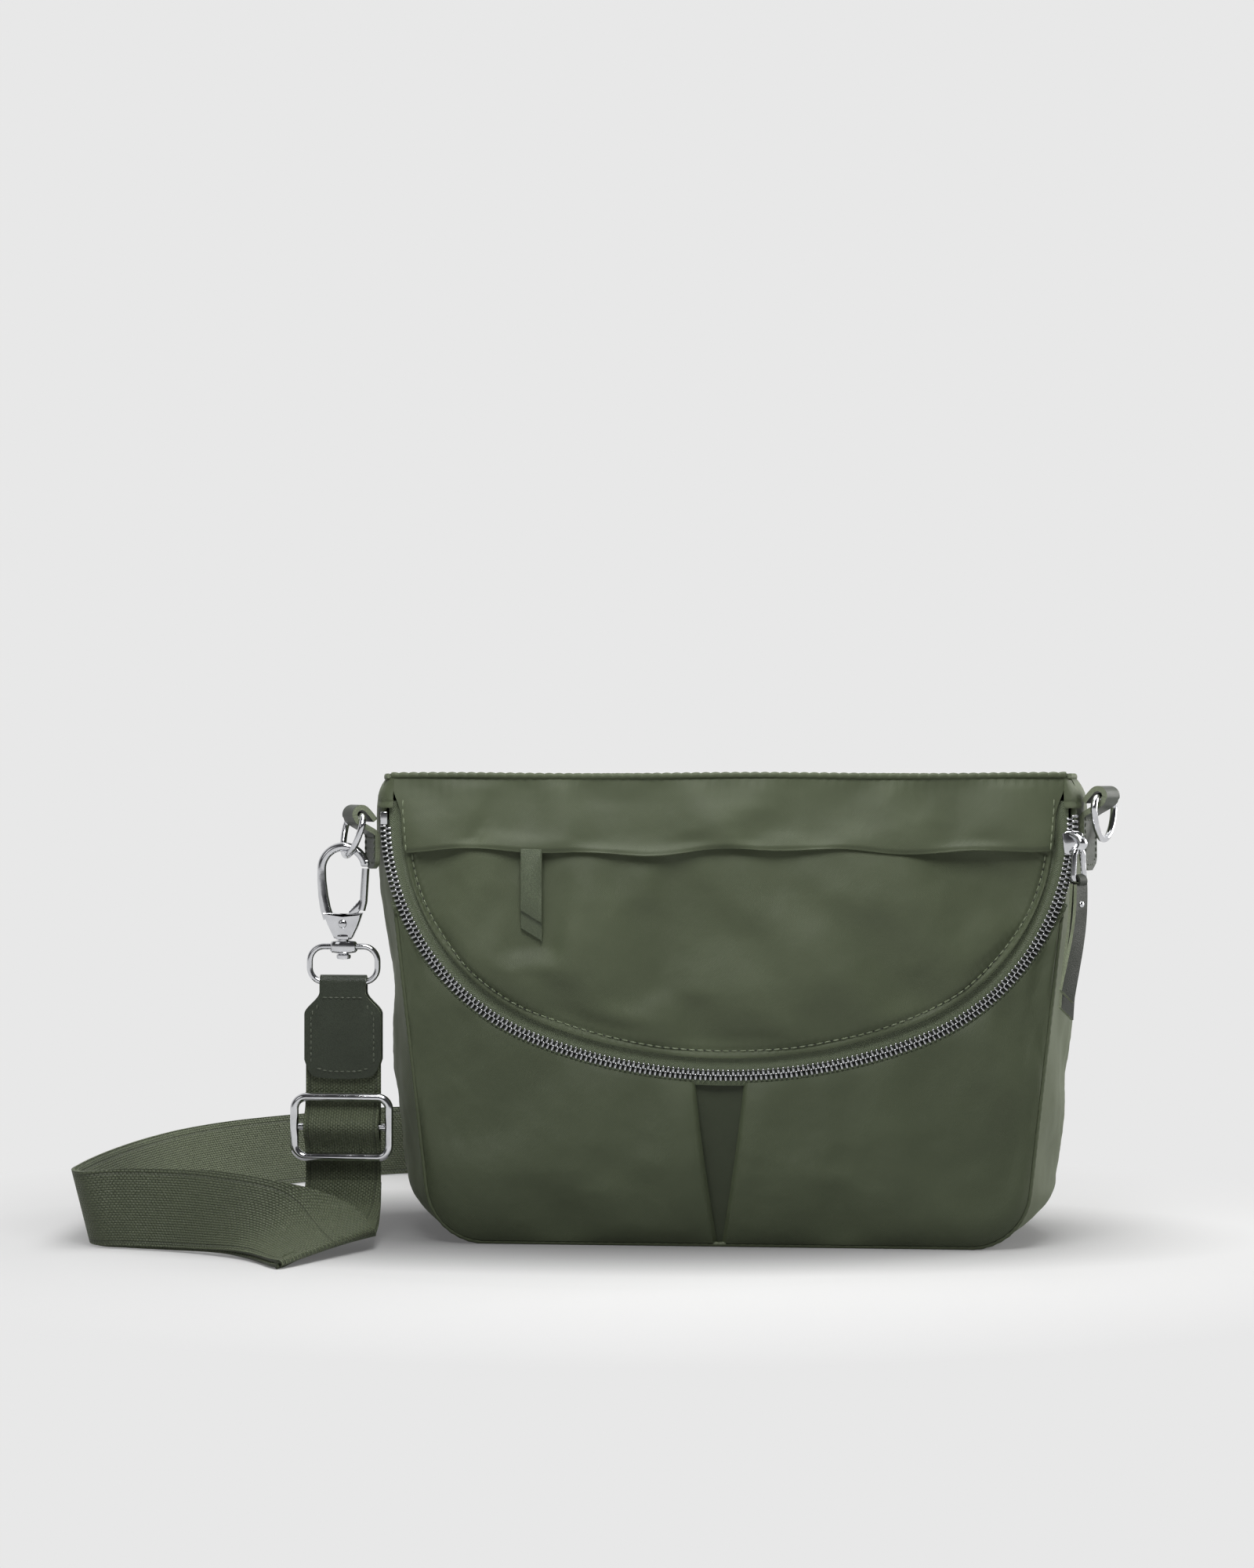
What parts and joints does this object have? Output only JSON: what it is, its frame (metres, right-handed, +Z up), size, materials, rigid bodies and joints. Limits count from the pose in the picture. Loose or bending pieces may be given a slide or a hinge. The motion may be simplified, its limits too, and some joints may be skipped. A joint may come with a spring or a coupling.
{
  "type": "crossbody purse",
  "caption": "Soft nylon crossbody purse with a D-shaped zipped flap, zipped flap pocket, front pleat, leather D-ring tabs and a webbing strap with swivel hooks and slide adjuster",
  "frame": {"origin": "middle of the bag's base, on the surface it stands on", "axes": "+Z up, -Y out of the bag's front, +X to the right in front view"},
  "size_m": [0.4385, 0.2625, 0.198],
  "materials": {
    "nylon": "fine matt-silk twill nylon",
    "lining": "plain smooth lining cloth",
    "zip_tape": "herringbone zip tape",
    "zip_metal": "polished nickel teeth",
    "chrome": "polished nickel plate",
    "leather": "smooth fine-grain leather with painted edges",
    "webbing": "ribbed plain-weave webbing",
    "board": "stiff fibre board"
  },
  "bodies": {
    "root": {"front_panel": "nylon", "pleat_underlay": "nylon", "lining_front": "lining", "back_panel": "nylon", "lining_back": "lining", "interior_slip_pocket": "lining", "gusset_left": "nylon", "gusset_right": "nylon", "lining_gusset_left": "lining", "lining_gusset_right": "lining", "bottom_panel": "nylon", "base_board": "board", "lining_bottom": "lining", "top_panel": "nylon", "flap_top_band": "nylon", "corner_cap_left": "nylon", "corner_cap_right": "nylon", "front_piping": "nylon", "zip_teeth_body": "zip_metal", "zip_tape_body": "zip_tape", "zip_stop": "zip_metal", "dring_tab_left": "leather", "dring_tab_right": "leather", "swivel_ring_left": "chrome", "strap_leather_end": "leather", "webbing_hanging": "webbing", "webbing_run": "webbing", "webbing_turn": "webbing", "swivel_ring_spare": "chrome"},
    "flap": {"flap_panel": "nylon", "flap_pocket_lip": "nylon", "flap_lining": "lining", "zip_tape_flap": "zip_tape", "zip_teeth_flap": "zip_metal", "pocket_zip_chain": "zip_tape"},
    "main_slider": {"main_slider_body": "chrome"},
    "main_puller": {"main_puller_link": "chrome"},
    "main_pull": {"main_pull_front": "leather", "main_pull_back": "leather", "main_pull_rivet": "chrome"},
    "pocket_slider": {"pocket_slider": "chrome"},
    "pocket_pull": {"pocket_pull_front": "leather", "pocket_pull_back": "leather"},
    "dring_left": {"dring_left": "chrome"},
    "dring_right": {"dring_right": "chrome"},
    "hook_left": {"hook_left_body": "chrome", "hook_left_rivet": "chrome"},
    "gate_left": {"hook_left_gate": "chrome"},
    "hook_spare": {"hook_spare_body": "chrome", "hook_spare_rivet": "chrome"},
    "gate_spare": {"hook_spare_gate": "chrome"},
    "adjuster": {"adjuster_frame": "chrome", "adjuster_webbing": "webbing"}
  },
  "joints": [
    {"name": "flap_hinge", "type": "hinge", "parent": "root", "child": "flap", "pos_m": [0, -0.0469, 0.182], "axis": [-1, 0, 0], "range_deg": [0, 120]},
    {"name": "main_zip_travel", "type": "hinge", "parent": "flap", "child": "main_slider", "pos_m": [0.045, -0.0445, 0.178], "axis": [0, 1, 0], "range_deg": [0, 68]},
    {"name": "main_puller_swing", "type": "hinge", "parent": "main_slider", "child": "main_puller", "pos_m": [0.14526, -0.04806, 0.1658], "axis": [-0.7071, -0.7071, 0], "range_deg": [0, 80]},
    {"name": "main_pull_swing", "type": "hinge", "parent": "main_puller", "child": "main_pull", "pos_m": [0.14526, -0.04806, 0.1534], "axis": [-0.7071, -0.7071, 0], "range_deg": [0, 40]},
    {"name": "pocket_zip_travel", "type": "slide", "parent": "flap", "child": "pocket_slider", "axis": [1, 0, 0], "range_m": [0, 0.195]},
    {"name": "pocket_pull_swing", "type": "hinge", "parent": "pocket_slider", "child": "pocket_pull", "pos_m": [-0.081, -0.0465, 0.1655], "axis": [-1, 0, 0], "range_deg": [0, 90]},
    {"name": "dring_left_swing", "type": "hinge", "parent": "root", "child": "dring_left", "pos_m": [-0.15702, -0.03452, 0.18], "axis": [-0.4695, 0.8829, 0], "range_deg": [-2.5, 2.5]},
    {"name": "dring_right_swing", "type": "hinge", "parent": "root", "child": "dring_right", "pos_m": [0.15702, -0.03452, 0.188], "axis": [-0.4695, -0.8829, 0], "range_deg": [-8, 120]},
    {"name": "hook_left_swivel", "type": "hinge", "parent": "root", "child": "hook_left", "pos_m": [-0.1624, -0.036, 0.131], "axis": [0, 0, 1], "range_deg": [-8, 8]},
    {"name": "gate_left_press", "type": "hinge", "parent": "hook_left", "child": "gate_left", "pos_m": [-0.1624, -0.036, 0.1338], "axis": [0, -1, 0], "range_deg": [0, 25], "stiffness_Nm_per_rad": 0.02, "springref_deg": -17.19},
    {"name": "hook_spare_swivel", "type": "hinge", "parent": "root", "child": "hook_spare", "pos_m": [0.01, 0.109, 0.0032], "axis": [1, 0, 0], "continuous": true},
    {"name": "gate_spare_press", "type": "hinge", "parent": "hook_spare", "child": "gate_spare", "pos_m": [0.0118, 0.109, 0.0032], "axis": [0, 0, -1], "range_deg": [0, 25], "stiffness_Nm_per_rad": 0.02, "springref_deg": -17.19},
    {"name": "adjuster_slide", "type": "slide", "parent": "root", "child": "adjuster", "axis": [0, 0, 1], "range_m": [-0.007, 0.004]}
  ]
}
